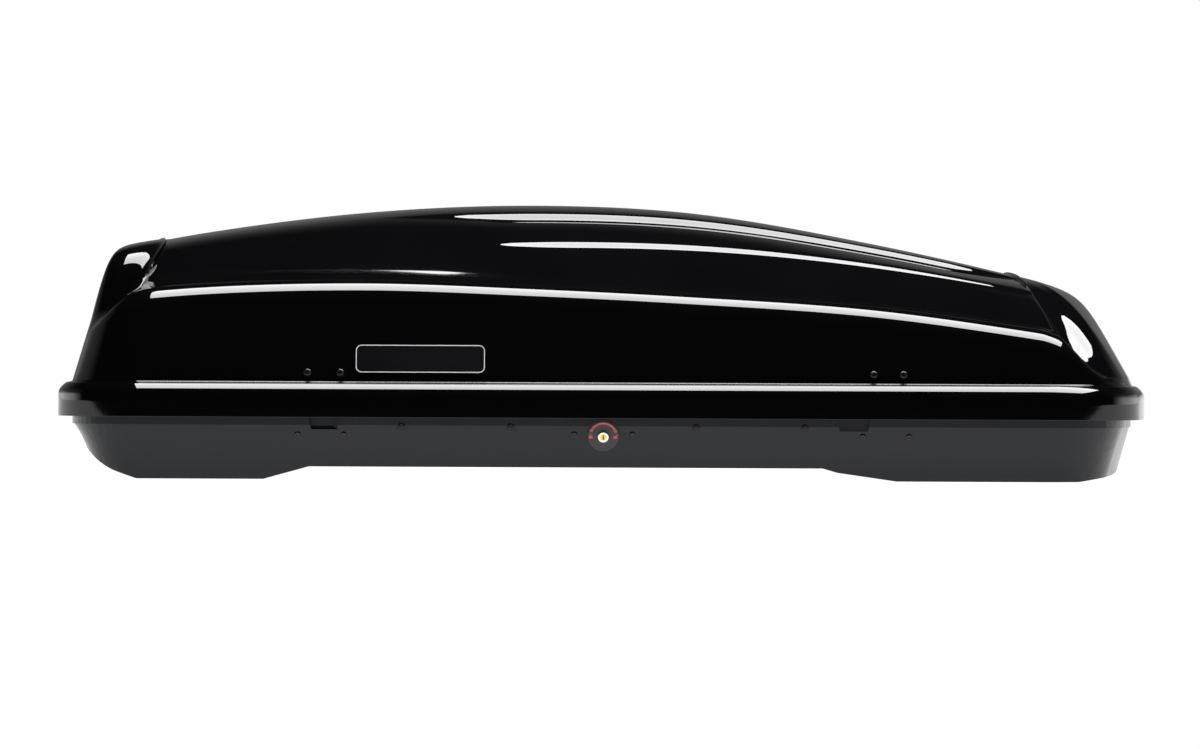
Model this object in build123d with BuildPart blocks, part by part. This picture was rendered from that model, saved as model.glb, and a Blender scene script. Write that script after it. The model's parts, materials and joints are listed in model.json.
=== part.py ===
from build123d import *
from math import cos, sin, tan, radians
import os

os.makedirs("parts", exist_ok=True)

# ---------------------------------------------------------------- driving dimensions (mm)
# +X points to the nose, -Y is the side with the lock, +Z is up. Z = 0 is under the base's two feet.
LENGTH = 1600.0
WIDTH = 800.0
WALL = 4.0

RIM_BOTTOM = 88.0
RIM_TOP = 132.0
PANEL_INSET = 19.0
NOSE_INSET = 12.0
SIDE_DRAFT = 9.2
REAR_DRAFT = 16.0
NOSE_DRAFT = 23.0
REAR_CORNER = 130.0
NOSE_CORNER = 150.0
REAR_BOW = 36.0
NOSE_BOW = 62.0

# lid sections along X: (station, height on the centre line, height of the shoulder)
STATIONS = [
    (-800, 317, 238),
    (-574, 361, 266),
    (-340, 391, 273),
    (-105, 402, 266),
    (110, 393, 256),
    (400, 346, 236),
    (600, 302, 209),
    (800, 250, 176),
]
SHOULDER_Y = 358.0
CREASE_Y = 200.0
CREASE_SHARE = 0.70

BASE_INSET = 20.0
STEP_Z = 77.0
STEP = 2.0
BASE_DRAFT = 15.0
BASE_TOP = 122.0
FLANGE = 10.0
SEAL_TOP = 127.7
FLOOR_RISE = 18.0
RISE_REAR = -417.0
RISE_NOSE = 311.0

# hinge line on the far side
AXIS_Y = 391.0
AXIS_Z = 82.0
HINGE_X = [-520.0, 0.0, 520.0]
HINGE_WIDTH = 90.0
KNUCKLE_R = 5.0
PIN_R = 2.5
PIN_PLAY = 0.05
LEAF = 2.5

# gas struts: both pivots lie at one distance from the hinge line
STRUT_X = [-620.0, 600.0]
STRUT_ARM = 250.0
STRUT_BASE_ANGLE = -13.0
STRUT_LID_ANGLE = 39.0
CYLINDER_R = 9.0
CYLINDER_BORE = 6.5
CYLINDER_END = 199.0
ROD_R = 4.0
ROD_END = 193.0
SOCKET_NECK = 18.0
EYE_R = 8.0
STUD_PIN_R = 4.0
BRACKET_T = 3.0
BRACKET_SIDE = 9.5
RIB_WIDTH = 40.0
RIB_DEPTH = 12.0
RIB_T = 2.0
RIB_LOW = 175.0
RIB_X = [STRUT_X[0] - BRACKET_SIDE - RIB_WIDTH / 2, -230.0, 190.0, STRUT_X[1] - BRACKET_SIDE - RIB_WIDTH / 2]

# lock on the near side
LOCK_Z = 64.0
DISC_R = 22.0
BARREL_R = 7.75
PLUG_R = 4.4
CAM_R = 15.0
CAM_PIN_R = 3.0
BAR_Y = -347.5
BAR_T = 3.0
BAR_LOW = 76.0
BAR_HIGH = 100.0
BAR_REAR = -440.0
BAR_NOSE = 505.0
BAR_STROKE = 21.2
STUD_X = [-398.0, 403.0]
STUD_Z = 110.0
STUD_R = 4.0
GUIDE_X = [-285.0, -131.0, 131.0, 285.0]
GUIDE_SCREW_Z = 76.0
LATCH_SCREW_X = [-432.0, -367.0, 367.0, 432.0]
LATCH_SCREW_Z = 63.5
LATCH_PLATES = [(-442.0, -322.0), (357.0, 479.0)]
LATCH_LUG_X = [-420.0, -330.0, 381.0, 471.0]
POCKETS = [(-418.0, -371.0, 71.0), (329.0, 379.0, 71.0)]
POCKET_FLOOR_Y = -371.0
LID_SCREW_X = [-418.5, -372.0, 382.0, 424.0]
LID_SCREW_Z = 151.0
LOCK_SCREW_X = [-41.0, 41.0]

# mounting slots through the raised floor
SLOT_CENTRE_X = -53.0
SLOT_PITCH_X = 480.0
SLOT_PITCH_Y = 380.0
SLOT_WIDTH = 8.5
SLOT_LENGTH = 180.0
RAIL_LENGTH = 700.0
RAIL_WIDTH = 60.0
RAIL_T = 2.5
RAIL_HEIGHT = 9.0
RIVET_INSET = 30.0

# roundings of the lid, and the plain plate on its side panel
RIM_ROUNDING = 3.2
CROWN_ROUNDING = 20.0
DOME_TOP = 430.0
CORNER_TAPER = 0.12
EDGE_DROP = 0.55
STATION_STRETCH = 1.02
BADGE_AT = (-259.0, 171.0)
BADGE_LENGTH = 184.0
BADGE_HEIGHT = 41.0
BADGE_CORNER = 9.0
BADGE_T = 0.8

# underside of the base, seen from the side
REAR_END_X = -781.0
NOSE_END_X = 786.0
REAR_TUCK = 14.0
NOSE_TUCK = 25.0
NOSE_TUCK_Z = 62.0
REAR_FOOT_X = -482.0
NOSE_FOOT_X = (416.0, 676.0)
RAMP_X = 332.0
RAMP_Z = 12.0
REAR_HEEL = 90.0
NOSE_HEEL = 32.0

# screws and rivets
HEAD_R = 4.5
HEAD_H = 2.4
SHANK_R = 2.0
LID_HEAD_R = 5.5
LID_HEAD_H = 3.4
RIVET_R = 4.0
RIVET_H = 2.0
HOLE_PLAY = 0.1

# hinge details
RIVET_SPREAD = 30.0
BASE_RIVET_Z = 105.0
LID_RIVET_Z = 108.0
KNUCKLE_HALF = 20.0
KNUCKLE_GAP = 0.4

# strut details
SOCKET_HALF = 5.0
SOCKET_NECK_R = 4.5
STUD_OUT = 5.6
STUD_HEAD_R = 6.0
STUD_HEAD_T = 2.0
CYLINDER_CAP = 8.0
CYLINDER_FOOT = 4.0
ROD_PLAY = 0.08

# lock details, measured along the lock's axis from the base's outer face
DISC_LIFT = 2.5
DISC_T = 2.5
BARREL_FRONT = 11.0
BARREL_LENGTH = 30.0
PLUG_FRONT = 10.8
KEY_SLOT_LENGTH = 7.2
KEY_SLOT_WIDTH = 1.6
KEY_SLOT_DEPTH = 20.0
CAM_NEAR = 20.3
CAM_FAR = 23.3
CAM_HUB_R = 3.4
CAM_BOSS_R = 7.0
CAM_TIP_R = 5.0
CAM_ANGLE = 45.0
CAM_PIN_LENGTH = 11.4
CAM_NOTCH_PLAY = 0.7
CAM_NOTCH_TOP = 91.0
CAM_SCREW_R = 1.5
HOUSING_LENGTH = 104.0
HOUSING_HEIGHT = 26.0
HOUSING_T = 3.0
HOUSING_BOSS_R = 12.0

# latch details
BAR_PLAY = 0.4
GUIDE_HALF = 14.0
LUG_HALF = 6.0
HOOK_TIP = 10.0
HOOK_LENGTH = 40.0
HOOK_HALF = 11.0
HOOK_PLAY = 1.2
HOOK_RIVET_X = 12.0
HOOK_RIVET_Z = 88.0
CATCH_BACK_Y = -350.0
CATCH_T = 3.5
CATCH_HALF = 32.0
CATCH_TOE_R = 7.0
CATCH_STUD_LENGTH = 14.5

BASE_SLOPE = tan(radians(BASE_DRAFT))
HALF_WIDTH = WIDTH / 2
HALF_LENGTH = LENGTH / 2
WALL_DEPTH = WALL * cos(radians(BASE_DRAFT))
FLOOR_TOP = FLOOR_RISE + WALL


def wall_y(z):
    """Outer face of the base's near side wall at a height below the step, as a positive distance."""
    return HALF_WIDTH - BASE_INSET - STEP - (STEP_Z - z) * BASE_SLOPE


def panel_y(z):
    """Outer face of the lid's side panel at a height, as a positive distance."""
    return HALF_WIDTH - PANEL_INSET - (z - RIM_TOP) * tan(radians(SIDE_DRAFT))


def plan(z, side, rear, nose, tight=0.0):
    """Plan outline at height z, pulled in by the three insets: straight sides, bowed ends, round corners."""
    half = HALF_WIDTH - side
    rear_x = -HALF_LENGTH + rear
    nose_x = HALF_LENGTH - nose
    with BuildSketch(Plane.XY.offset(z)) as outline:
        with BuildLine() as edge:
            Line((rear_x + REAR_BOW, half), (nose_x - NOSE_BOW, half))
            ThreePointArc((nose_x - NOSE_BOW, half), (nose_x, 0), (nose_x - NOSE_BOW, -half))
            Line((nose_x - NOSE_BOW, -half), (rear_x + REAR_BOW, -half))
            ThreePointArc((rear_x + REAR_BOW, -half), (rear_x, 0), (rear_x + REAR_BOW, half))
        make_face()
        fillet(outline.vertices().group_by(Axis.X)[0], REAR_CORNER - tight)
        fillet(outline.vertices().group_by(Axis.X)[-1], NOSE_CORNER - tight)
    return outline.sketch


def even_plan(z, inset):
    """Plan outline at height z with the same inset all round."""
    return plan(z, inset, inset, inset, inset)


def ring(outer, inner, low, high):
    """Band between two insets of the plan outline."""
    with BuildPart() as band:
        extrude(even_plan(low, outer), amount=high - low)
        extrude(even_plan(low, inner), amount=high - low, mode=Mode.SUBTRACT)
    return band.part


def crown(drop):
    """Solid under the lid's crowned top, lowered by drop."""
    sections = []
    for station, top, shoulder in STATIONS:
        crease = shoulder + (top - shoulder) * CREASE_SHARE
        edge = shoulder - (crease - shoulder) * EDGE_DROP
        with BuildSketch(Plane.YZ.offset(station * STATION_STRETCH)) as section:
            with BuildLine():
                Spline(
                    (-HALF_WIDTH - 20, edge - drop),
                    (-SHOULDER_Y, shoulder - drop),
                    (-CREASE_Y, crease - drop),
                    (0, top - drop),
                    (CREASE_Y, crease - drop),
                    (SHOULDER_Y, shoulder - drop),
                    (HALF_WIDTH + 20, edge - drop),
                )
                Line((HALF_WIDTH + 20, edge - drop), (HALF_WIDTH + 20, 60))
                Line((HALF_WIDTH + 20, 60), (-HALF_WIDTH - 20, 60))
                Line((-HALF_WIDTH - 20, 60), (-HALF_WIDTH - 20, edge - drop))
            make_face()
        sections.append(section.sketch.faces()[0])
    with BuildPart() as solid:
        loft(sections=sections)
    return solid.part


def dome(thick, low):
    """Solid of the lid above the rim, with every face moved in by thick, from height low."""
    faces = []
    for z in (low, DOME_TOP):
        rise = z - RIM_TOP
        faces.append(
            plan(
                z,
                PANEL_INSET + thick + rise * tan(radians(SIDE_DRAFT)),
                PANEL_INSET + thick + rise * tan(radians(REAR_DRAFT)),
                NOSE_INSET + thick + rise * tan(radians(NOSE_DRAFT)),
                thick + max(rise, 0) * CORNER_TAPER,
            ).faces()[0]
        )
    with BuildPart() as body:
        loft(sections=faces, ruled=True)
        add(crown(thick), mode=Mode.INTERSECT)
        edges = body.edges().filter_by(lambda e: e.center().Z > 150)
        fillet(edges, CROWN_ROUNDING - thick)
    return body.part


def underside(thick):
    """Side view of the base below its rim, moved in by thick, as a prism across the whole width."""
    rear = REAR_END_X + thick
    nose = NOSE_END_X - thick
    with BuildSketch(Plane.XZ) as side:
        with BuildLine():
            Polyline(
                (rear, 140),
                (rear, RIM_BOTTOM),
                (rear + REAR_TUCK, thick),
                (REAR_FOOT_X, thick),
                (RISE_REAR, FLOOR_RISE + thick),
                (RISE_NOSE, FLOOR_RISE + thick),
                (RAMP_X, RAMP_Z + thick),
                (NOSE_FOOT_X[0], thick),
                (NOSE_FOOT_X[1], thick),
                (nose - NOSE_TUCK, RAMP_Z + thick),
                (nose, NOSE_TUCK_Z),
                (nose, 140),
                close=True,
            )
        make_face()
        corner = side.vertices().sort_by(Axis.X)
        fillet([v for v in corner if v.X < REAR_FOOT_X - 100 and v.Y < 20], REAR_HEEL - thick)
        fillet([v for v in corner if v.X > NOSE_FOOT_X[1] + 50 and v.Y < 70], NOSE_HEEL - thick)
    with BuildPart() as prism:
        extrude(side.sketch, amount=HALF_WIDTH, both=True)
    return prism.part


def tray(thick, top):
    """Solid of the base with every face moved in by thick."""
    low = BASE_INSET + STEP + thick
    with BuildPart() as body:
        faces = [
            even_plan(0, low + STEP_Z * BASE_SLOPE).faces()[0],
            even_plan(STEP_Z, low).faces()[0],
        ]
        loft(sections=faces, ruled=True)
        extrude(even_plan(STEP_Z, BASE_INSET + thick), amount=top - STEP_Z)
        add(underside(thick), mode=Mode.INTERSECT)
    return body.part


def offset_plane(x, y, z, normal):
    """Plane with its local x along the box's length."""
    return Plane(origin=(x, y, z), x_dir=(1, 0, 0), z_dir=normal)


def wall_plane(x, z):
    """Plane on the drafted outer face of the base's near side."""
    return offset_plane(x, -wall_y(z), z, (0, -cos(radians(BASE_DRAFT)), -sin(radians(BASE_DRAFT))))


def panel_plane(x, z):
    """Plane on the outer face of the lid's near side panel."""
    return offset_plane(x, -panel_y(z), z, (0, -cos(radians(SIDE_DRAFT)), sin(radians(SIDE_DRAFT))))


def band_plane(x, z):
    """Plane on the upright upper band of the base's near side."""
    return offset_plane(x, -HALF_WIDTH + BASE_INSET, z, (0, -1, 0))


def screw(place, head_r, head_h, shank_r, length):
    """Round-headed screw with a hexagonal socket; its head stands on the plane."""
    with BuildPart() as made:
        with BuildSketch(place):
            Circle(head_r)
        extrude(amount=head_h)
        fillet(made.edges().filter_by(GeomType.CIRCLE).sort_by_distance(place.offset(50).origin)[0], head_h * 0.8)
        with BuildSketch(place.offset(head_h)):
            RegularPolygon(head_r * 0.42, 6)
        extrude(amount=-head_h * 0.6, mode=Mode.SUBTRACT)
        with BuildSketch(place):
            Circle(shank_r)
        extrude(amount=-length)
    return made.part


def holes(places, radius, depth=14.0):
    """Round holes both ways through the wall at each plane."""
    with BuildPart() as drills:
        for place in places:
            with BuildSketch(place):
                Circle(radius)
            extrude(amount=depth, both=True)
    return drills.part


def block(x, y, z):
    """Block between three pairs of limits."""
    with BuildPart() as made:
        with Locations(((x[0] + x[1]) / 2, (y[0] + y[1]) / 2, (z[0] + z[1]) / 2)):
            Box(x[1] - x[0], y[1] - y[0], z[1] - z[0])
    return made.part


def save(piece, name):
    """Label a finished piece and write it."""
    piece.label = name
    export_step(piece, f"parts/{name}.step")


guide_planes = [band_plane(x, GUIDE_SCREW_Z) for x in GUIDE_X]
latch_planes = [wall_plane(x, LATCH_SCREW_Z) for x in LATCH_SCREW_X]
lock_screw_planes = [wall_plane(x, LOCK_Z + 1) for x in LOCK_SCREW_X]
lid_planes = [panel_plane(x, LID_SCREW_Z) for x in LID_SCREW_X]
lock_plane = wall_plane(0, LOCK_Z)

# ---------------------------------------------------------------- lid shell
lid_outer = dome(0, RIM_TOP - WALL)
lid_inner = dome(WALL, RIM_TOP - WALL)
with BuildPart() as lid_shell:
    extrude(even_plan(RIM_BOTTOM, 0), amount=RIM_TOP - RIM_BOTTOM)
    fillet(lid_shell.edges().group_by(Axis.Z)[-1], RIM_ROUNDING)
    extrude(even_plan(RIM_BOTTOM, WALL), amount=RIM_TOP - WALL - RIM_BOTTOM, mode=Mode.SUBTRACT)
    add(lid_outer)
    add(lid_inner, mode=Mode.SUBTRACT)
    for place in lid_planes:
        with BuildSketch(Plane(origin=place.offset(3).origin, x_dir=place.y_dir, z_dir=place.z_dir)):
            Circle(SHANK_R + HOLE_PLAY)
        extrude(amount=-WALL - 6, mode=Mode.SUBTRACT)
    for x in HINGE_X:
        for side in (-RIVET_SPREAD, RIVET_SPREAD):
            with BuildSketch(Plane.XZ.offset(-HALF_WIDTH + 2 * WALL)):
                with Locations((x + side, LID_RIVET_Z)):
                    Circle(SHANK_R + HOLE_PLAY)
            extrude(amount=-2 * WALL - 2, mode=Mode.SUBTRACT)
save(lid_shell.part, "lid_shell")

# stiffening ribs: channels that follow the inside of the lid
with BuildPart() as lid_ribs:
    add(lid_inner)
    add(dome(WALL + RIB_DEPTH, RIM_TOP - WALL), mode=Mode.SUBTRACT)
    with BuildSketch(Plane.XY.offset(RIB_LOW)):
        with Locations(*[(x, 0) for x in RIB_X]):
            Rectangle(RIB_WIDTH, WIDTH)
    extrude(amount=300, mode=Mode.INTERSECT)
with BuildPart() as rib_hollow:
    add(lid_inner)
    add(dome(WALL + RIB_DEPTH - RIB_T, RIM_TOP - WALL), mode=Mode.SUBTRACT)
    with BuildSketch(Plane.XY.offset(RIB_LOW)):
        with Locations(*[(x, 0) for x in RIB_X]):
            Rectangle(RIB_WIDTH - 2 * RIB_T, WIDTH)
    extrude(amount=300, mode=Mode.INTERSECT)
with BuildPart() as lid_ribs_open:
    add(lid_ribs.part)
    add(rib_hollow.part, mode=Mode.SUBTRACT)
save(lid_ribs_open.part, "lid_ribs")

# plain plate on the side panel
with BuildPart() as badge:
    with BuildSketch(panel_plane(*BADGE_AT)):
        RectangleRounded(BADGE_LENGTH, BADGE_HEIGHT, BADGE_CORNER)
    extrude(amount=BADGE_T)
save(badge.part, "badge")

# ---------------------------------------------------------------- base shell
with BuildPart() as base_shell:
    add(tray(0, BASE_TOP))
    add(tray(WALL, BASE_TOP + 1), mode=Mode.SUBTRACT)
    add(ring(BASE_INSET, BASE_INSET + FLANGE, BASE_TOP - WALL, BASE_TOP))
    for rear, nose, low in POCKETS:
        add(block((rear - 5, nose + 5), (-373, POCKET_FLOOR_Y + WALL), (low - 3, STEP_Z)))
        add(block((rear - 5, nose + 5), (-378, POCKET_FLOOR_Y + WALL), (STEP_Z, 104)))
    for place in guide_planes:
        with BuildSketch(place):
            Circle(HEAD_R + 1)
        extrude(amount=-8)
    with BuildSketch(lock_plane.offset(DISC_LIFT)):
        Circle(DISC_R + 1.5)
    extrude(amount=-2 * DISC_LIFT)
    for rear, nose, low in POCKETS:
        with BuildSketch(Plane.XZ.offset(HALF_WIDTH - BASE_INSET + 2)):
            with BuildLine():
                Polyline((rear, 100), (rear + 5, low), (nose - 5, low), (nose, 100), close=True)
            make_face()
        extrude(amount=-(HALF_WIDTH - BASE_INSET + 2 + POCKET_FLOOR_Y), mode=Mode.SUBTRACT)
    add(holes(guide_planes + latch_planes + lock_screw_planes, SHANK_R + HOLE_PLAY), mode=Mode.SUBTRACT)
    add(holes([lock_plane], BARREL_R + HOLE_PLAY), mode=Mode.SUBTRACT)
    with BuildSketch(Plane.XY.offset(FLOOR_RISE - 5)):
        with Locations((SLOT_CENTRE_X, 0)):
            with GridLocations(SLOT_PITCH_X, SLOT_PITCH_Y, 2, 2):
                SlotOverall(SLOT_LENGTH, SLOT_WIDTH)
    extrude(amount=15, mode=Mode.SUBTRACT)
    with BuildSketch(Plane.XY.offset(FLOOR_RISE - 5)):
        with Locations((SLOT_CENTRE_X, 0)):
            with GridLocations(RAIL_LENGTH - RIVET_INSET, SLOT_PITCH_Y, 2, 2):
                Circle(SHANK_R + HOLE_PLAY)
    extrude(amount=15, mode=Mode.SUBTRACT)
    for x in HINGE_X:
        with BuildSketch(Plane.XZ.offset(-HALF_WIDTH + BASE_INSET + 8)):
            with Locations((x - RIVET_SPREAD, BASE_RIVET_Z), (x + RIVET_SPREAD, BASE_RIVET_Z)):
                Circle(SHANK_R + HOLE_PLAY)
        extrude(amount=-12, mode=Mode.SUBTRACT)
save(base_shell.part, "base_shell")
save(ring(BASE_INSET, BASE_INSET + 7, BASE_TOP, SEAL_TOP), "rim_seal")

# floor rails with the mounting slots
with BuildPart() as floor_rails:
    for side in (-1, 1):
        y = side * SLOT_PITCH_Y / 2
        ends = (SLOT_CENTRE_X - RAIL_LENGTH / 2, SLOT_CENTRE_X + RAIL_LENGTH / 2)
        add(block(ends, (y - RAIL_WIDTH / 2, y + RAIL_WIDTH / 2), (FLOOR_TOP, FLOOR_TOP + RAIL_HEIGHT)))
        add(
            block(
                ends,
                (y - RAIL_WIDTH / 2 + RAIL_T, y + RAIL_WIDTH / 2 - RAIL_T),
                (FLOOR_TOP + RAIL_T, FLOOR_TOP + RAIL_HEIGHT),
            ),
            mode=Mode.SUBTRACT,
        )
    with BuildSketch(Plane.XY.offset(FLOOR_TOP - 1)):
        with Locations((SLOT_CENTRE_X, 0)):
            with GridLocations(SLOT_PITCH_X, SLOT_PITCH_Y, 2, 2):
                SlotOverall(SLOT_LENGTH, SLOT_WIDTH)
            with GridLocations(RAIL_LENGTH - RIVET_INSET, SLOT_PITCH_Y, 2, 2):
                Circle(SHANK_R)
    extrude(amount=RAIL_T + 2, mode=Mode.SUBTRACT)
save(floor_rails.part, "floor_rails")

with BuildPart() as rail_rivets:
    with BuildSketch(Plane.XY.offset(FLOOR_RISE)):
        with Locations((SLOT_CENTRE_X, 0)):
            with GridLocations(RAIL_LENGTH - RIVET_INSET, SLOT_PITCH_Y, 2, 2):
                Circle(SHANK_R)
    extrude(amount=WALL + RAIL_T)
    with BuildSketch(Plane.XY.offset(FLOOR_TOP + RAIL_T)):
        with Locations((SLOT_CENTRE_X, 0)):
            with GridLocations(RAIL_LENGTH - RIVET_INSET, SLOT_PITCH_Y, 2, 2):
                Circle(HEAD_R)
    extrude(amount=1.8)
    fillet(rail_rivets.edges().group_by(Axis.Z)[-1], 1.2)
save(rail_rivets.part, "rail_rivets")

# ---------------------------------------------------------------- hinges
half_hinge = HINGE_WIDTH / 2
with BuildPart() as hinge_base_leaves:
    for x in HINGE_X:
        wall = HALF_WIDTH - BASE_INSET
        add(block((x - half_hinge, x + half_hinge), (wall, wall + LEAF), (AXIS_Z - 2, BASE_TOP - WALL)))
        clear = KNUCKLE_HALF + KNUCKLE_GAP
        for low, high in ((x - half_hinge, x - clear), (x + clear, x + half_hinge)):
            add(block((low, high), (wall, AXIS_Y), (AXIS_Z - LEAF / 2, AXIS_Z + LEAF / 2)))
            with BuildSketch(Plane.YZ.offset(low)):
                with Locations((AXIS_Y, AXIS_Z)):
                    Circle(KNUCKLE_R)
            extrude(amount=high - low)
        with BuildSketch(Plane.YZ.offset(x - half_hinge)):
            with Locations((AXIS_Y, AXIS_Z)):
                Circle(PIN_R)
        extrude(amount=HINGE_WIDTH, mode=Mode.SUBTRACT)
        with BuildSketch(Plane.XZ.offset(-wall - 5)):
            with Locations((x - RIVET_SPREAD, BASE_RIVET_Z), (x + RIVET_SPREAD, BASE_RIVET_Z)):
                Circle(SHANK_R)
        extrude(amount=8, mode=Mode.SUBTRACT)
save(hinge_base_leaves.part, "hinge_base_leaves")

with BuildPart() as hinge_pins:
    for x in HINGE_X:
        with BuildSketch(Plane.YZ.offset(x - half_hinge - 1)):
            with Locations((AXIS_Y, AXIS_Z)):
                Circle(PIN_R)
        extrude(amount=HINGE_WIDTH + 2)
save(hinge_pins.part, "hinge_pins")

with BuildPart() as hinge_lid_leaves:
    for x in HINGE_X:
        skirt = HALF_WIDTH - WALL
        add(block((x - half_hinge, x + half_hinge), (skirt - LEAF, skirt), (RIM_BOTTOM, 121)))
        add(block((x - KNUCKLE_HALF, x + KNUCKLE_HALF), (skirt - LEAF, skirt), (AXIS_Z, RIM_BOTTOM)))
        with BuildSketch(Plane.YZ.offset(x - KNUCKLE_HALF)):
            with Locations((AXIS_Y, AXIS_Z)):
                Circle(KNUCKLE_R)
        extrude(amount=2 * KNUCKLE_HALF)
        with BuildSketch(Plane.YZ.offset(x - KNUCKLE_HALF)):
            with Locations((AXIS_Y, AXIS_Z)):
                Circle(PIN_R + PIN_PLAY)
        extrude(amount=2 * KNUCKLE_HALF, mode=Mode.SUBTRACT)
        with BuildSketch(Plane.XZ.offset(-skirt + LEAF + 1)):
            with Locations((x - RIVET_SPREAD, LID_RIVET_Z), (x + RIVET_SPREAD, LID_RIVET_Z)):
                Circle(SHANK_R)
        extrude(amount=-6, mode=Mode.SUBTRACT)
save(hinge_lid_leaves.part, "hinge_lid_leaves")

with BuildPart() as hinge_base_rivets:
    for x in HINGE_X:
        for side in (-RIVET_SPREAD, RIVET_SPREAD):
            place = offset_plane(x + side, HALF_WIDTH - BASE_INSET + LEAF, BASE_RIVET_Z, (0, 1, 0))
            add(screw(place, RIVET_R, RIVET_H, SHANK_R, LEAF + WALL + 1))
save(hinge_base_rivets.part, "hinge_base_rivets")

with BuildPart() as hinge_lid_rivets:
    for x in HINGE_X:
        for side in (-RIVET_SPREAD, RIVET_SPREAD):
            place = offset_plane(x + side, HALF_WIDTH - WALL - LEAF, LID_RIVET_Z, (0, -1, 0))
            add(screw(place, RIVET_R, RIVET_H, SHANK_R, LEAF + WALL))
save(hinge_lid_rivets.part, "hinge_lid_rivets")

# ---------------------------------------------------------------- gas struts
strut_foot = (
    AXIS_Y - STRUT_ARM * cos(radians(STRUT_BASE_ANGLE)),
    AXIS_Z + STRUT_ARM * sin(radians(STRUT_BASE_ANGLE)),
)
strut_head = (
    AXIS_Y - STRUT_ARM * cos(radians(STRUT_LID_ANGLE)),
    AXIS_Z + STRUT_ARM * sin(radians(STRUT_LID_ANGLE)),
)
run = (0, strut_head[0] - strut_foot[0], strut_head[1] - strut_foot[1])


def along(x, point, direction, distance):
    """Plane across a strut at a distance from one of its pivots."""
    return Plane(origin=(x, *point), x_dir=(1, 0, 0), z_dir=direction).offset(distance)


def socket(x, point, direction):
    """End socket of a strut: an eye round the pivot stud and a neck."""
    with BuildPart() as made:
        with BuildSketch(Plane.YZ.offset(x - SOCKET_HALF)):
            with Locations(point):
                Circle(EYE_R)
        extrude(amount=2 * SOCKET_HALF)
        with BuildSketch(along(x, point, direction, SOCKET_HALF)):
            Circle(SOCKET_NECK_R)
        extrude(amount=SOCKET_NECK - SOCKET_HALF)
        with BuildSketch(Plane.YZ.offset(x - SOCKET_HALF)):
            with Locations(point):
                Circle(STUD_PIN_R + PIN_PLAY)
        extrude(amount=2 * SOCKET_HALF, mode=Mode.SUBTRACT)
    return made.part


def pivot_stud(x, point):
    """Stud across a bracket, with a head that keeps the socket on."""
    with BuildPart() as made:
        with BuildSketch(Plane.YZ.offset(x - BRACKET_SIDE)):
            with Locations(point):
                Circle(STUD_PIN_R)
        extrude(amount=BRACKET_SIDE + STUD_OUT)
        with BuildSketch(Plane.YZ.offset(x + STUD_OUT)):
            with Locations(point):
                Circle(STUD_HEAD_R)
        extrude(amount=STUD_HEAD_T)
    return made.part


back = tuple(-c for c in run)
for name, x in zip(("rear", "front"), STRUT_X):
    save(socket(x, strut_foot, run), f"{name}_cylinder_socket")
    save(socket(x, strut_head, back), f"{name}_rod_socket")
    with BuildPart() as cylinder:
        with BuildSketch(along(x, strut_foot, run, SOCKET_NECK)):
            Circle(CYLINDER_R)
        extrude(amount=CYLINDER_END - SOCKET_NECK)
        fillet(cylinder.edges().filter_by(GeomType.CIRCLE), 1.5)
        with BuildSketch(along(x, strut_foot, run, SOCKET_NECK + CYLINDER_FOOT)):
            Circle(CYLINDER_BORE)
        extrude(amount=CYLINDER_END - SOCKET_NECK - CYLINDER_FOOT - CYLINDER_CAP, mode=Mode.SUBTRACT)
        with BuildSketch(along(x, strut_foot, run, CYLINDER_END - CYLINDER_CAP)):
            Circle(ROD_R + ROD_PLAY)
        extrude(amount=CYLINDER_CAP + 2, mode=Mode.SUBTRACT)
    save(cylinder.part, f"{name}_strut_cylinder")
    with BuildPart() as rod:
        with BuildSketch(along(x, strut_head, back, SOCKET_NECK)):
            Circle(ROD_R)
        extrude(amount=ROD_END - SOCKET_NECK)
        with BuildSketch(along(x, strut_head, back, ROD_END - CYLINDER_CAP)):
            Circle(CYLINDER_BORE - HOLE_PLAY)
        extrude(amount=CYLINDER_CAP)
    save(rod.part, f"{name}_strut_rod")

with BuildPart() as strut_base_studs:
    for x in STRUT_X:
        add(pivot_stud(x, strut_foot))
save(strut_base_studs.part, "strut_base_studs")

with BuildPart() as strut_lid_studs:
    for x in STRUT_X:
        add(pivot_stud(x, strut_head))
save(strut_lid_studs.part, "strut_lid_studs")

with BuildPart() as strut_base_brackets:
    for x in STRUT_X:
        side = x - BRACKET_SIDE
        span = (strut_foot[0] - 11, strut_foot[0] + 11)
        add(block((side, side + BRACKET_T), span, (WALL, 34)))
        add(block((side - 30, side), span, (WALL, WALL + BRACKET_T)))
        with BuildSketch(Plane.YZ.offset(side)):
            with Locations(strut_foot):
                Circle(STUD_PIN_R)
        extrude(amount=BRACKET_T, mode=Mode.SUBTRACT)
save(strut_base_brackets.part, "strut_base_brackets")

with BuildPart() as strut_lid_brackets:
    for x in STRUT_X:
        side = x - BRACKET_SIDE
        add(block((side, side + BRACKET_T), (strut_head[0] - 18, strut_head[0] + 18), (228, 400)))
    add(lid_inner, mode=Mode.INTERSECT)
    for x in STRUT_X:
        with BuildSketch(Plane.YZ.offset(x - BRACKET_SIDE)):
            with Locations(strut_head):
                Circle(STUD_PIN_R)
        extrude(amount=BRACKET_T, mode=Mode.SUBTRACT)
save(strut_lid_brackets.part, "strut_lid_brackets")

# ---------------------------------------------------------------- lock
with BuildPart() as lock_disc:
    with BuildSketch(lock_plane.offset(DISC_LIFT)):
        Circle(DISC_R)
    extrude(amount=DISC_T)
    fillet(lock_disc.edges().filter_by(GeomType.CIRCLE).sort_by_distance(lock_plane.offset(60).origin)[0], 1.0)
    add(holes([lock_plane], BARREL_R), mode=Mode.SUBTRACT)
save(lock_disc.part, "lock_disc")

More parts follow.
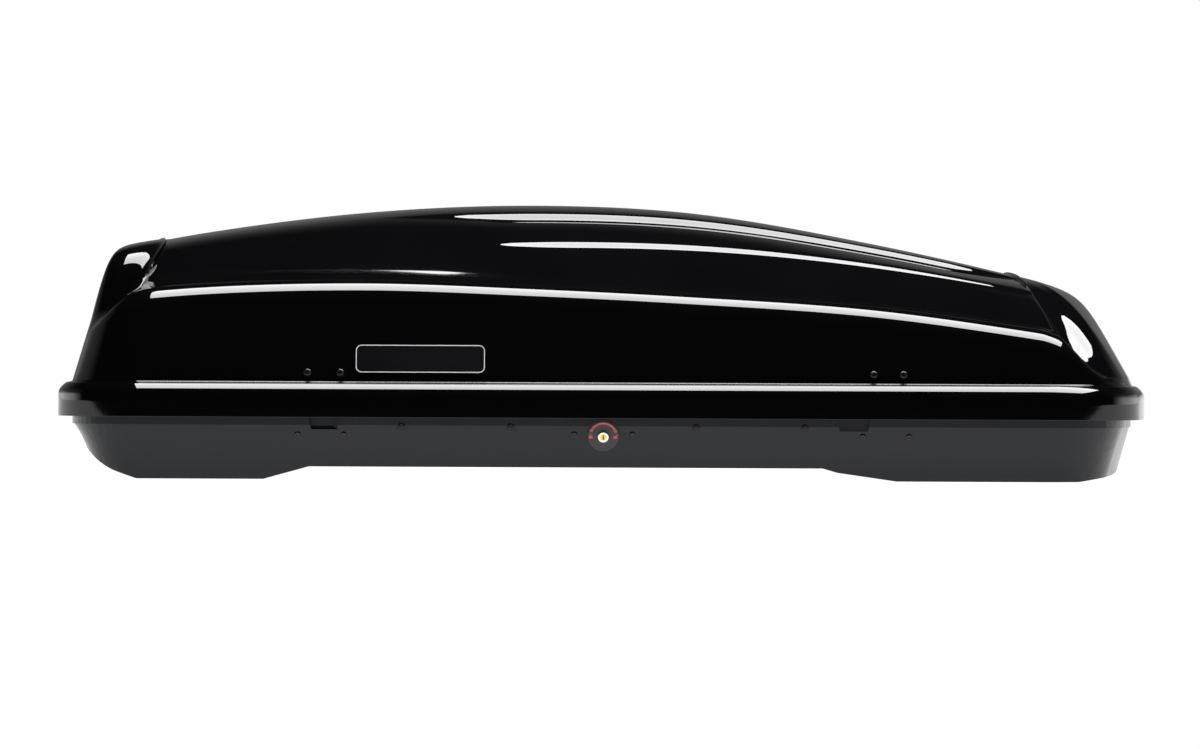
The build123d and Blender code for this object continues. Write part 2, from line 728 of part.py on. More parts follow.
with BuildPart() as lock_barrel:
    with BuildSketch(lock_plane.offset(BARREL_FRONT)):
        Circle(BARREL_R)
    extrude(amount=-BARREL_LENGTH)
    fillet(lock_barrel.edges().filter_by(GeomType.CIRCLE).sort_by_distance(lock_plane.offset(60).origin)[0], 1.0)
    add(holes([lock_plane], PLUG_R + PIN_PLAY, 40), mode=Mode.SUBTRACT)
save(lock_barrel.part, "lock_barrel")

with BuildPart() as lock_housing:
    with BuildSketch(lock_plane.offset(-WALL_DEPTH)):
        RectangleRounded(HOUSING_LENGTH, HOUSING_HEIGHT, 6)
    extrude(amount=-HOUSING_T)
    with BuildSketch(lock_plane.offset(-WALL_DEPTH)):
        Circle(HOUSING_BOSS_R)
    extrude(amount=-14)
    add(holes([lock_plane], BARREL_R, 30), mode=Mode.SUBTRACT)
    add(holes(lock_screw_planes, SHANK_R), mode=Mode.SUBTRACT)
save(lock_housing.part, "lock_housing")

with BuildPart() as key_plug:
    with BuildSketch(lock_plane.offset(PLUG_FRONT)):
        Circle(PLUG_R)
    extrude(amount=-PLUG_FRONT - CAM_NEAR)
    with BuildSketch(lock_plane.offset(-CAM_NEAR)):
        Circle(CAM_HUB_R)
    extrude(amount=CAM_NEAR - CAM_FAR)
    with BuildSketch(lock_plane.offset(PLUG_FRONT)):
        SlotOverall(KEY_SLOT_LENGTH, KEY_SLOT_WIDTH, rotation=90)
    extrude(amount=-KEY_SLOT_DEPTH, mode=Mode.SUBTRACT)
    with BuildSketch(lock_plane.offset(-CAM_FAR)):
        Circle(CAM_SCREW_R)
    extrude(amount=8, mode=Mode.SUBTRACT)
save(key_plug.part, "key_plug")

pin_at = (CAM_R * sin(radians(CAM_ANGLE)), CAM_R * cos(radians(CAM_ANGLE)))
with BuildPart() as lock_cam:
    with BuildSketch(lock_plane.offset(-CAM_NEAR)):
        Circle(CAM_BOSS_R)
        with Locations(pin_at):
            Circle(CAM_TIP_R)
        with Locations((pin_at[0] / 2, pin_at[1] / 2)):
            Rectangle(2 * CAM_TIP_R, CAM_R, rotation=-CAM_ANGLE)
        Circle(CAM_HUB_R, mode=Mode.SUBTRACT)
    extrude(amount=CAM_NEAR - CAM_FAR)
    with BuildSketch(lock_plane.offset(-CAM_FAR)):
        with Locations(pin_at):
            Circle(CAM_PIN_R)
    extrude(amount=-CAM_PIN_LENGTH)
save(lock_cam.part, "lock_cam")

cam_place = Plane(origin=lock_plane.offset(-CAM_FAR).origin, x_dir=(1, 0, 0), z_dir=-lock_plane.z_dir)
save(screw(cam_place, RIVET_R, RIVET_H, CAM_SCREW_R, 8), "cam_screw")

with BuildPart() as lock_bar:
    front = BAR_Y - BAR_T / 2
    add(block((BAR_REAR, BAR_NOSE), (front, front + BAR_T), (BAR_LOW, BAR_HIGH)))
    notch = CAM_PIN_R + CAM_NOTCH_PLAY
    add(
        block((pin_at[0] - notch, pin_at[0] + notch), (front - 1, front + BAR_T + 1), (BAR_LOW - 1, CAM_NOTCH_TOP)),
        mode=Mode.SUBTRACT,
    )
    for x in STUD_X:
        with BuildSketch(Plane.XZ.offset(-front)):
            with Locations((x + BAR_STROKE + HOOK_RIVET_X, HOOK_RIVET_Z)):
                Circle(SHANK_R)
        extrude(amount=-BAR_T, mode=Mode.SUBTRACT)
save(lock_bar.part, "lock_bar")

with BuildPart() as latch_hooks:
    hook_face = BAR_Y + BAR_T / 2
    for x in STUD_X:
        tip = x + BAR_STROKE - HOOK_TIP
        heel = tip + HOOK_LENGTH
        add(block((tip + 8, heel), (hook_face, hook_face + BAR_T), (BAR_LOW + 2, STUD_Z - 5)))
        add(block((tip, heel), (hook_face, hook_face + BAR_T), (STUD_Z - HOOK_HALF, STUD_Z + HOOK_HALF)))
        with BuildSketch(Plane.XZ.offset(-hook_face)):
            with Locations((x + BAR_STROKE + STUD_R + HOOK_PLAY, STUD_Z)):
                Rectangle(HOOK_LENGTH, 2 * (STUD_R + HOOK_PLAY), align=(Align.MAX, Align.CENTER))
            with Locations((x + BAR_STROKE + HOOK_RIVET_X, HOOK_RIVET_Z)):
                Circle(SHANK_R)
        extrude(amount=-BAR_T, mode=Mode.SUBTRACT)
save(latch_hooks.part, "latch_hooks")

with BuildPart() as hook_rivets:
    for x in STUD_X:
        place = offset_plane(x + BAR_STROKE + HOOK_RIVET_X, hook_face + BAR_T, HOOK_RIVET_Z, (0, 1, 0))
        add(screw(place, 3.6, 1.6, SHANK_R, 2 * BAR_T))
save(hook_rivets.part, "hook_rivets")

channel = (
    (BAR_Y - BAR_T / 2 - BAR_PLAY, BAR_Y + BAR_T / 2 + BAR_PLAY),
    (BAR_LOW - BAR_PLAY, BAR_HIGH + BAR_PLAY),
)
with BuildPart() as bar_guides:
    for x in GUIDE_X:
        add(block((x - GUIDE_HALF, x + GUIDE_HALF), (-372, -341), (71, 105)))
        add(block((x - GUIDE_HALF, x + GUIDE_HALF), (-376, -372), (83, 105)))
        add(block((x - GUIDE_HALF, x + GUIDE_HALF), *channel), mode=Mode.SUBTRACT)
    add(holes(guide_planes, SHANK_R, 20), mode=Mode.SUBTRACT)
save(bar_guides.part, "bar_guides")

with BuildPart() as latch_housings:
    for rear, nose in LATCH_PLATES:
        with BuildSketch(wall_plane((rear + nose) / 2, 59).offset(-WALL_DEPTH)):
            RectangleRounded(nose - rear, 13, 3)
        extrude(amount=-3)
    for x in LATCH_LUG_X:
        add(block((x - LUG_HALF, x + LUG_HALF), (-366, -341), (52, 105)))
        add(block((x - LUG_HALF, x + LUG_HALF), *channel), mode=Mode.SUBTRACT)
    add(holes(latch_planes, SHANK_R), mode=Mode.SUBTRACT)
save(latch_housings.part, "latch_housings")

with BuildPart() as guide_screws:
    for place in guide_planes:
        add(screw(place, HEAD_R, HEAD_H, SHANK_R, 18))
save(guide_screws.part, "guide_screws")

with BuildPart() as latch_screws:
    for place in latch_planes:
        add(screw(place, HEAD_R, HEAD_H, SHANK_R, 8))
save(latch_screws.part, "latch_screws")

with BuildPart() as lock_screws:
    for place in lock_screw_planes:
        add(screw(place, HEAD_R, HEAD_H, SHANK_R, 8))
save(lock_screws.part, "lock_screws")

# ---------------------------------------------------------------- lid catches
with BuildPart() as lid_catches:
    for x in STUD_X:
        add(block((x - CATCH_HALF, x + CATCH_HALF), (-385, CATCH_BACK_Y), (140, 163)))
    add(lid_inner, mode=Mode.INTERSECT)
    for x in STUD_X:
        add(block((x - 12, x + 12), (CATCH_BACK_Y - CATCH_T, CATCH_BACK_Y), (STUD_Z, 142)))
        with BuildSketch(Plane.XZ.offset(CATCH_T - CATCH_BACK_Y)):
            with Locations((x, STUD_Z)):
                Circle(CATCH_TOE_R)
        extrude(amount=-CATCH_T)
        with BuildSketch(Plane.XZ.offset(CATCH_T - CATCH_BACK_Y)):
            with Locations((x, STUD_Z)):
                Circle(STUD_R)
        extrude(amount=-CATCH_T, mode=Mode.SUBTRACT)
    add(holes(lid_planes, SHANK_R, 16), mode=Mode.SUBTRACT)
save(lid_catches.part, "lid_catches")

with BuildPart() as catch_studs:
    with BuildSketch(Plane.XZ.offset(CATCH_T - CATCH_BACK_Y)):
        with Locations(*[(x, STUD_Z) for x in STUD_X]):
            Circle(STUD_R)
    extrude(amount=-CATCH_STUD_LENGTH)
save(catch_studs.part, "catch_studs")

with BuildPart() as catch_screws:
    for place in lid_planes:
        add(screw(place, LID_HEAD_R, LID_HEAD_H, SHANK_R, 14))
save(catch_screws.part, "catch_screws")
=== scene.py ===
import json
import math

import bmesh
import bpy
import numpy as np
from mathutils import Matrix, Vector
from mathutils.bvhtree import BVHTree


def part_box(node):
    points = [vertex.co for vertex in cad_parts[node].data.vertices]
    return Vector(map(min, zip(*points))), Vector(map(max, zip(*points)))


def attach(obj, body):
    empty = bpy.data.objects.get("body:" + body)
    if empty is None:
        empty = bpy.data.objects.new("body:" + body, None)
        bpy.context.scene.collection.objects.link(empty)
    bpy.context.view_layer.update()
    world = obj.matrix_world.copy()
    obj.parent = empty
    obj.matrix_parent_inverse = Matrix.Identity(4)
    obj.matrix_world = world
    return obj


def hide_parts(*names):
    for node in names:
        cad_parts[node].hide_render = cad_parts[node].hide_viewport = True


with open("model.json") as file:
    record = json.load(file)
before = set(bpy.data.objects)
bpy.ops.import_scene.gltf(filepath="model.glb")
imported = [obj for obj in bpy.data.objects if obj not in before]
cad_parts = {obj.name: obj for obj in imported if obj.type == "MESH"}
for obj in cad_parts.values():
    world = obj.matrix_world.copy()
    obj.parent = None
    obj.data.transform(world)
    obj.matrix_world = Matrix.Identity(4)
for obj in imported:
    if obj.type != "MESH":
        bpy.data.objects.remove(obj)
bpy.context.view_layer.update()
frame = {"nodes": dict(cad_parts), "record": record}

nodes = frame["nodes"]

# ---------------------------------------------------------------- driving sizes, in metres
# The box lies along X with its nose at +X; -Y is the side with the lock; Z = 0 is under the feet.
LID_LOW, LID_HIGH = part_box("lid_shell")
HALF_LENGTH = (LID_HIGH.x - LID_LOW.x) / 2
HALF_WIDTH = (LID_HIGH.y - LID_LOW.y) / 2
SKIRT_Z = LID_LOW.z
TRIM = 0.0004                  # the visual skin stays this far inside the CAD box
SHELL = 0.0035                 # wall of the moulded lid

REAR_CORNER, NOSE_CORNER = 0.130, 0.150
REAR_BOW, NOSE_BOW = 0.036, 0.062

# side view of the lid: (station, height of the centre line, height of the shoulder)
STATIONS = (
    (-0.800, 0.317, 0.244),
    (-0.574, 0.361, 0.266),
    (-0.340, 0.391, 0.273),
    (-0.105, 0.4015, 0.266),
    (0.110, 0.393, 0.256),
    (0.400, 0.346, 0.236),
    (0.600, 0.302, 0.209),
    (0.800, 0.250, 0.176),
)
SPINE = (-0.655, 0.60)         # the crown's lines end on the centre line between these
RIM_START = 0.1192             # the skirt is upright up to here
RIM_ARCS = ((0.014, 36.0), (0.034, 55.0), (0.006, 78.0))    # radius, and the tilt it ends at
RIM_SLOPE = 0.0058
SKIRT_EDGE = 0.0005            # first short row, which keeps the skirt's shading level
PANEL_COVE = 0.0025
PANEL_LEAST = 0.0008
SHOULDER_R = 0.039
LEDGE_COVE = 0.030

RIB_X = (-0.6495, -0.230, 0.190, 0.5705)
RIB_WIDTH, RIB_DEPTH, RIB_WALL = 0.040, 0.012, 0.002
RIB_LEAN, RIB_INNER_LEAN = 0.003, 0.004     # each flank leans in by this much, outside and inside
RIB_CHAMFER = 0.002
RIB_GAP = 0.0004               # clear of the lid's inner face by this much
RIB_EYE = 0.100                # the ribs are drawn as seen from this height on the centre line
RIB_FROM = math.radians(13)
RIB_RINGS = 73

MERGE, LID_MERGE = 1e-6, 1e-5  # points nearer than this become one


# ---------------------------------------------------------------- small helpers
def smooth(low, high, value):
    """0 at low, 1 at high, and a smooth step between them."""
    t = np.clip((np.asarray(value, float) - low) / (high - low), 0, 1)
    return t * t * (3 - 2 * t)


def mix(a, b, share):
    return a + (b - a) * share


def through(points, value):
    """Smooth curve through (x, y) points, read at value."""
    xs, ys = np.array(points, float).T
    slopes = np.gradient(ys, xs)
    value = np.clip(value, xs[0], xs[-1])
    i = np.clip(np.searchsorted(xs, value) - 1, 0, len(xs) - 2)
    width = xs[i + 1] - xs[i]
    t = (value - xs[i]) / width
    return (
        (2 * t**3 - 3 * t**2 + 1) * ys[i]
        + (t**3 - 2 * t**2 + t) * width * slopes[i]
        + (3 * t**2 - 2 * t**3) * ys[i + 1]
        + (t**3 - t**2) * width * slopes[i + 1]
    )


def new_object(name, mesh):
    made = bpy.data.objects.new(name, mesh)
    bpy.context.scene.collection.objects.link(made)
    return made


def changed(entry, place):
    """What an (amount, start, end) entry adds at a place between its start and its end."""
    amount, start, end = entry
    return amount * smooth(start, end, place)


def toward(value, entry, place):
    """The value led over to a (target, start, end) entry's target."""
    target, start, end = entry
    return mix(value, target, smooth(start, end, place))


def grid_mesh(name, rows):
    """Mesh of quads over closed rows of points, one array of shape (rows, points, 3)."""
    count, length = rows.shape[:2]
    index = np.arange(count * length).reshape(count, length)
    index = np.hstack([index, index[:, :1]])
    quads = np.stack([index[:-1, :-1], index[:-1, 1:], index[1:, 1:], index[1:, :-1]], -1)
    mesh = bpy.data.meshes.new(name)
    mesh.from_pydata(rows.reshape(-1, 3).tolist(), [], quads.reshape(-1, 4).tolist())
    return mesh


def finish_mesh(mesh, merge):
    """Merge doubled points, point the faces outward and shade smooth."""
    edit = bmesh.new()
    edit.from_mesh(mesh)
    bmesh.ops.remove_doubles(edit, verts=edit.verts, dist=merge)
    bmesh.ops.recalc_face_normals(edit, faces=edit.faces)
    edit.to_mesh(mesh)
    edit.free()
    mesh.shade_smooth()


# ---------------------------------------------------------------- plan outline of the box
def half_outline(counts, half_width, rear_x, nose_x):
    """Points, inward normals and corner angles of the near half, from the rear centre to the nose centre."""
    bow_count, corner_count, side_count = counts
    ends = []
    for bow, corner in ((REAR_BOW, REAR_CORNER), (NOSE_BOW, NOSE_CORNER)):
        radius = (half_width**2 + bow**2) / (2 * bow)
        reach = math.sqrt((radius - corner) ** 2 - (half_width - corner) ** 2)
        ends.append((radius, corner, reach, math.asin(reach / (radius - corner))))
    parts = []
    for (radius, corner, reach, turn), end_x, sign in zip(ends, (rear_x, nose_x), (-1, 1)):
        middle = end_x - sign * radius
        bow = np.linspace(math.pi / 2, turn, bow_count)[:-1]
        edge = np.linspace(turn, 0, corner_count)
        x = np.concatenate(
            [middle + sign * radius * np.sin(bow), middle + sign * (reach + corner * np.sin(edge))]
        )
        y = np.concatenate([radius * np.cos(bow), half_width - corner + corner * np.cos(edge)])
        parts.append((x, -y, np.concatenate([bow, edge]) * sign))
    rear, nose = parts
    side_x = np.linspace(rear[0][-1], nose[0][-1], side_count)[1:-1]
    x = np.concatenate([rear[0], side_x, nose[0][::-1]])
    y = np.concatenate([rear[1], np.full(side_x.shape, -half_width), nose[1][::-1]])
    angle = np.concatenate([rear[2], np.zeros(side_x.shape), nose[2][::-1]])
    return x, y, angle


def around(near_half):
    """Close a near half, whose ends lie on the centre line, with its mirror image."""
    mirror = near_half[..., ::-1, :][..., 1:-1, :] * np.array([1, -1, 1])
    return np.concatenate([near_half, mirror], axis=-2)


class Profile:
    """Section of the lid at every station at once, drawn from the outside inward and upward.

    Each station keeps its inset from the outline, its height, and the tilt of the surface's normal
    above the horizon, in degrees. An upright wall has tilt 0 and a level top 90."""

    def __init__(self, stations, inset, height):
        self.inset = np.full(stations, inset)
        self.height = np.full(stations, height)
        self.tilt = np.zeros(stations)
        self.rows = [(self.inset, self.height)]

    def step(self, inset, height):
        self.inset = self.inset + inset
        self.height = self.height + height
        self.rows.append((self.inset, self.height))

    def line(self, length, count=1):
        slope = np.radians(self.tilt)
        for _ in range(count):
            self.step(length * np.sin(slope) / count, length * np.cos(slope) / count)

    def arc(self, radius, tilt, count):
        """Round towards another tilt; a falling tilt makes a hollow."""
        start = self.tilt
        target = np.broadcast_to(tilt, start.shape)
        way = np.sign(target - start)
        for i in range(count):
            a = np.radians(mix(start, target, i / count))
            b = np.radians(mix(start, target, (i + 1) / count))
            self.step(radius * way * (np.cos(a) - np.cos(b)), radius * way * (np.sin(b) - np.sin(a)))
        self.tilt = target


# ---------------------------------------------------------------- lid
STATION_COUNTS = (22, 34, 120)     # points over an end's bow, over a corner and along the side
CROWN_COUNTS = (9, 7, 8, 7, 9)     # rows outside, on, between, on and inside the two creases
SKIRT_ROWS, RIM_ARC_ROWS, RIM_SLOPE_ROWS, COVE_ROWS = 3, 7, 2, 6
PANEL_ROWS, SHOULDER_ROWS, LEDGE_ROWS = 6, 16, 3
SHARE_X = (-0.15, 0.60)
CREASES = (
    # (share across the crown at each end of SHARE_X, half width of the step, drop,
    #  x over which it comes in, x over which it fades)
    ((0.26, 0.40), 0.020, 0.0036, (-0.24, -0.04), (0.56, 0.70)),
    ((0.62, 0.70), 0.020, 0.0080, (-0.34, -0.10), (0.50, 0.68)),
)
FALL_STEP = 0.001                  # the centre line's slope is taken over this step each way

# How the section changes. An entry is (amount or target, start, end). REAR and NOSE entries run over
# the outline's turn in degrees, 0 on the sides and 90 on the centre line; MIDDLE entries run over the
# share of the way in from the side, 0 to 1; ALONG entries run over x.
PANEL_DRAFT, REAR_DRAFT, NOSE_DRAFT = 9.2, (7.5, 0, 80), (12, 0, 70)
NOSE_RIM_SLOPE = (-0.35, 10, 60)
PANEL_DROP = 0.0213                # the panel's top lies this far below the shoulder
REAR_PANEL_TOP, NOSE_PANEL_TOP = (0.196, 12, 84), (0.1405, 12, 50)
LEDGE_TILT, REAR_LEDGE_TILT = 77, (-60, 18, 84)
NOSE_LEDGE_TILT, TIP_LEDGE_TILT = (-22, 25, 50), (-32, 46, 76)
LEDGE_WIDTH, ALONG_LEDGE, NOSE_LEDGE = 0.013, (0.030, -0.10, -0.66), (-0.6, 20, 60)
NOSE_SHOULDER_R = (-0.62, 15, 50)
CROWN_TILT, REAR_CROWN_TILT, NOSE_CROWN_TILT = 54, (-40, 0, 82), (-23, 0, 80)
MIDDLE_CROWN_TILT = (-4, 0.38, 1)
# pull of the crown's corner point: 1 draws a parabola, more draws a fuller curve
REAR_PULL, MIDDLE_REAR_PULL, MIDDLE_NOSE_PULL = (2, 0, 80), (0.6, 0.38, 1), (2.3, 0, 1)
ALONG_PULL, REAR_PULL_FADE = (0.4, -0.3, -0.65), (-1, 0, 60)


def centre_height(x):
    return through([(s[0], s[1]) for s in STATIONS], x)


def shoulder_height(x):
    return through([(s[0], s[2]) for s in STATIONS], x)


def lid_rows():
    """Outer skin of the lid as rows of points from the foot of the skirt to the centre line."""
    x, y, angle = half_outline(
        STATION_COUNTS, HALF_WIDTH - TRIM, -HALF_LENGTH + TRIM, HALF_LENGTH - TRIM
    )
    turn = np.degrees(angle)
    rear, nose = -np.minimum(turn, 0), np.maximum(turn, 0)
    normal = np.stack([-np.sin(angle), np.cos(angle)], -1)

    middle = 1 + y / HALF_WIDTH                     # 0 along the sides, 1 on the centre line

    draft = PANEL_DRAFT + changed(REAR_DRAFT, rear) + changed(NOSE_DRAFT, nose)
    panel_top = toward(shoulder_height(x) - PANEL_DROP, REAR_PANEL_TOP, rear)
    panel_top = toward(panel_top, NOSE_PANEL_TOP, nose)
    ledge_tilt = LEDGE_TILT + changed(REAR_LEDGE_TILT, rear)
    ledge_tilt = ledge_tilt + changed(NOSE_LEDGE_TILT, nose) + changed(TIP_LEDGE_TILT, nose)
    ledge = toward(LEDGE_WIDTH, ALONG_LEDGE, x) * (1 + changed(NOSE_LEDGE, nose))
    shoulder_r = SHOULDER_R * (1 + changed(NOSE_SHOULDER_R, nose))
    crown_tilt = CROWN_TILT + changed(REAR_CROWN_TILT, rear) + changed(NOSE_CROWN_TILT, nose)
    crown_tilt = crown_tilt + changed(MIDDLE_CROWN_TILT, middle)
    rear_pull = changed(REAR_PULL, rear) + changed(MIDDLE_REAR_PULL, middle)
    pull = 1 + np.where(turn < 0, rear_pull, changed(MIDDLE_NOSE_PULL, middle))
    pull = pull + changed(ALONG_PULL, x) * (1 + changed(REAR_PULL_FADE, rear))

    section = Profile(len(x), 0.0, SKIRT_Z)
    section.line(SKIRT_EDGE)
    section.line(RIM_START - SKIRT_Z - SKIRT_EDGE, SKIRT_ROWS)
    for radius, tilt in RIM_ARCS:
        section.arc(radius, tilt, RIM_ARC_ROWS)
    section.line(RIM_SLOPE * (1 + changed(NOSE_RIM_SLOPE, nose)), RIM_SLOPE_ROWS)
    section.arc(PANEL_COVE, draft, COVE_ROWS)
    panel = (panel_top - section.height) / np.cos(np.radians(draft))
    section.line(np.maximum(panel, PANEL_LEAST), PANEL_ROWS)
    section.arc(shoulder_r, ledge_tilt, SHOULDER_ROWS)
    section.line(ledge, LEDGE_ROWS)
    section.arc(LEDGE_COVE, crown_tilt, COVE_ROWS)
    outer = np.array(
        [np.column_stack([x + i * normal[:, 0], y + i * normal[:, 1], z]) for i, z in section.rows]
    )

    # crown: a conic from the ledge to the centre line, tangent to both
    start = outer[-1]
    side_x = x[turn == 0]
    spine_x = mix(SPINE[0], SPINE[1], np.clip((x - side_x[0]) / (side_x[-1] - side_x[0]), 0, 1))
    spine_z = centre_height(spine_x)
    fall = (centre_height(spine_x + FALL_STEP) - centre_height(spine_x - FALL_STEP)) / (2 * FALL_STEP)
    tilt = np.radians(crown_tilt)
    reach = (spine_z + fall * (start[:, 0] - spine_x) - start[:, 2]) / (
        np.cos(tilt) - fall * normal[:, 0] * np.sin(tilt)
    )
    corner = start + reach[:, None] * np.column_stack([normal * np.sin(tilt)[:, None], np.cos(tilt)])
    end = np.column_stack([spine_x, np.zeros(len(x)), spine_z])

    share_way = np.clip((x - SHARE_X[0]) / (SHARE_X[1] - SHARE_X[0]), 0, 1)
    centres = [mix(*share, share_way) for share, *_ in CREASES]
    widths = [crease[1] for crease in CREASES]
    stops = [
        np.zeros(len(x)),
        centres[0] - widths[0],
        centres[0] + widths[0],
        centres[1] - widths[1],
        centres[1] + widths[1],
        np.ones(len(x)),
    ]
    crown = []
    for low, high, count in zip(stops, stops[1:], CROWN_COUNTS):
        for i in range(count):
            t = mix(low, high, (i + 1) / count)
            a, b, c = (1 - t) ** 2, 2 * pull * t * (1 - t), t**2
            point = (a[:, None] * start + b[:, None] * corner + c[:, None] * end) / (a + b + c)[:, None]
            before = 0.0
            for centre, (_, half, drop, rise, fade) in zip(centres, CREASES):
                amount = drop * smooth(*rise, x) * (1 - smooth(*fade, x))
                ramp = np.clip((t - before) / (centre - half - before), 0, 1)
                point[:, 2] -= amount * ramp * (1 - smooth(centre - half, centre + half, t))
                before = centre + half
            crown.append(point)
    return around(np.concatenate([outer, crown]))


def make_ribs(lid_mesh):
    """Channels that stiffen the lid, drawn along its inner face by casting rays from its middle."""
    tree = BVHTree.FromPolygons([v.co for v in lid_mesh.vertices], [p.vertices for p in lid_mesh.polygons])
    wide, deep, wall = RIB_WIDTH / 2, RIB_DEPTH, RIB_WALL
    flat = wide - RIB_LEAN - RIB_CHAMFER
    inner = wide - wall - RIB_INNER_LEAN
    section = (
        (-wide, 0), (-wide + RIB_LEAN, deep - RIB_CHAMFER), (-flat, deep),
        (flat, deep), (wide - RIB_LEAN, deep - RIB_CHAMFER), (wide, 0),
        (wide - wall, 0), (inner, deep - wall), (-inner, deep - wall), (wall - wide, 0),
    )
    edit = bmesh.new()
    for middle in RIB_X:
        rings = []
        for angle in np.linspace(RIB_FROM, math.pi - RIB_FROM, RIB_RINGS):
            aim = Vector((0, -math.cos(angle), math.sin(angle)))
            ring = []
            for across, drop in section:
                hit, normal, _, _ = tree.ray_cast(Vector((middle + across, 0, RIB_EYE)), aim)
                if normal.dot(aim) < 0:
                    normal = -normal
                ring.append(edit.verts.new(hit - normal * (SHELL + RIB_GAP + drop)))
            rings.append(ring)
        for one, two in zip(rings, rings[1:]):
            for i in range(len(section)):
                j = (i + 1) % len(section)
                edit.faces.new((one[i], one[j], two[j], two[i]))
        edit.faces.new(rings[0])
        edit.faces.new(rings[-1])
    bmesh.ops.recalc_face_normals(edit, faces=edit.faces)
    mesh = bpy.data.meshes.new("lid_channels")
    edit.to_mesh(mesh)
    edit.free()
    mesh.materials.append(made_materials["inner_plastic"])
    ribs = new_object("lid_channels", mesh)
    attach(ribs, "lid")
    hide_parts("lid_ribs")


def make_lid():
    """Outer skin with a wall inside it, in place of the CAD's lid shell."""
    mesh = grid_mesh("lid_body", lid_rows())
    finish_mesh(mesh, LID_MERGE)
    mesh.materials.append(made_materials["lid_plastic"])
    lid = new_object("lid_body", mesh)
    wall = lid.modifiers.new("wall", "SOLIDIFY")
    wall.thickness = SHELL
    wall.offset = -1
    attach(lid, "lid")
    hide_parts("lid_shell")
    return lid


# ---------------------------------------------------------------- materials
CLOUD_SCALE, BUMP_STRENGTH = 14.0, 0.6
POLISH_DARK, POLISH_LIGHT = (0.0010, 0.0010, 0.0012), (0.0019, 0.0019, 0.0022)
POLISH_ROUGHNESS = (0.012, 0.040)
POLISH_CLOUD, POLISH_SWIRL, POLISH_TWIST = 6.0, 260.0, 1.4
POLISH_IOR = 1.5


def node_maker(tree):
    """Function that adds a node to the tree; an input is a value or another node's socket."""

    def node(kind, inputs=None, **settings):
        new = tree.nodes.new(kind)
        for key, value in settings.items():
            setattr(new, key, value)
        for key, value in (inputs or {}).items():
            if isinstance(value, bpy.types.NodeSocket):
                tree.links.new(value, new.inputs[key])
            else:
                new.inputs[key].default_value = value
        return new

    return node


def material(name, build):
    """Node material; build gets its shader, a function that adds nodes and one that links sockets."""
    made = bpy.data.materials.new(name)
    made.use_nodes = True
    tree = made.node_tree
    build(tree.nodes["Principled BSDF"], node_maker(tree), tree.links.new)
    return made


def ramp_between(node, factor, low, high):
    """Colours from low to high over a noise value."""
    blend = node("ShaderNodeMix", {"Factor": factor}, data_type="RGBA")
    blend.inputs["A"].default_value = (*low, 1)
    blend.inputs["B"].default_value = (*high, 1)
    return blend.outputs["Result"]


def speckled(dark, light, roughness, grain, bump, metallic=0.0, specular=0.5):
    """Plastic or metal whose colour, roughness and surface all vary a little."""

    def build(shader, node, link):
        place = node("ShaderNodeTexCoord").outputs["Object"]
        cloud = node("ShaderNodeTexNoise", {"Vector": place, "Scale": CLOUD_SCALE, "Detail": 5.0})
        fine = node("ShaderNodeTexNoise", {"Vector": place, "Scale": grain, "Detail": 2.0})
        link(ramp_between(node, cloud.outputs["Fac"], dark, light), shader.inputs["Base Color"])
        spread = node(
            "ShaderNodeMapRange",
            {"Value": fine.outputs["Fac"], "To Min": roughness[0], "To Max": roughness[1]},
        )
        link(spread.outputs["Result"], shader.inputs["Roughness"])
        if bump:
            height = {"Height": fine.outputs["Fac"], "Strength": BUMP_STRENGTH, "Distance": bump}
            relief = node("ShaderNodeBump", height)
            link(relief.outputs["Normal"], shader.inputs["Normal"])
        shader.inputs["Metallic"].default_value = metallic
        shader.inputs["Specular IOR Level"].default_value = specular

    return build


def gloss_black(shader, node, link):
    """Polished ABS: near-black, mirror-like, with faint swirls in its polish."""
    place = node("ShaderNodeTexCoord").outputs["Object"]
    cloud = node("ShaderNodeTexNoise", {"Vector": place, "Scale": POLISH_CLOUD, "Detail": 4.0})
    swirl = node(
        "ShaderNodeTexNoise",
        {"Vector": place, "Scale": POLISH_SWIRL, "Detail": 3.0, "Distortion": POLISH_TWIST},
    )
    link(ramp_between(node, cloud.outputs["Fac"], POLISH_DARK, POLISH_LIGHT), shader.inputs["Base Color"])
    low, high = POLISH_ROUGHNESS
    spread = node("ShaderNodeMapRange", {"Value": swirl.outputs["Fac"], "To Min": low, "To Max": high})
    link(spread.outputs["Result"], shader.inputs["Roughness"])
    shader.inputs["IOR"].default_value = POLISH_IOR


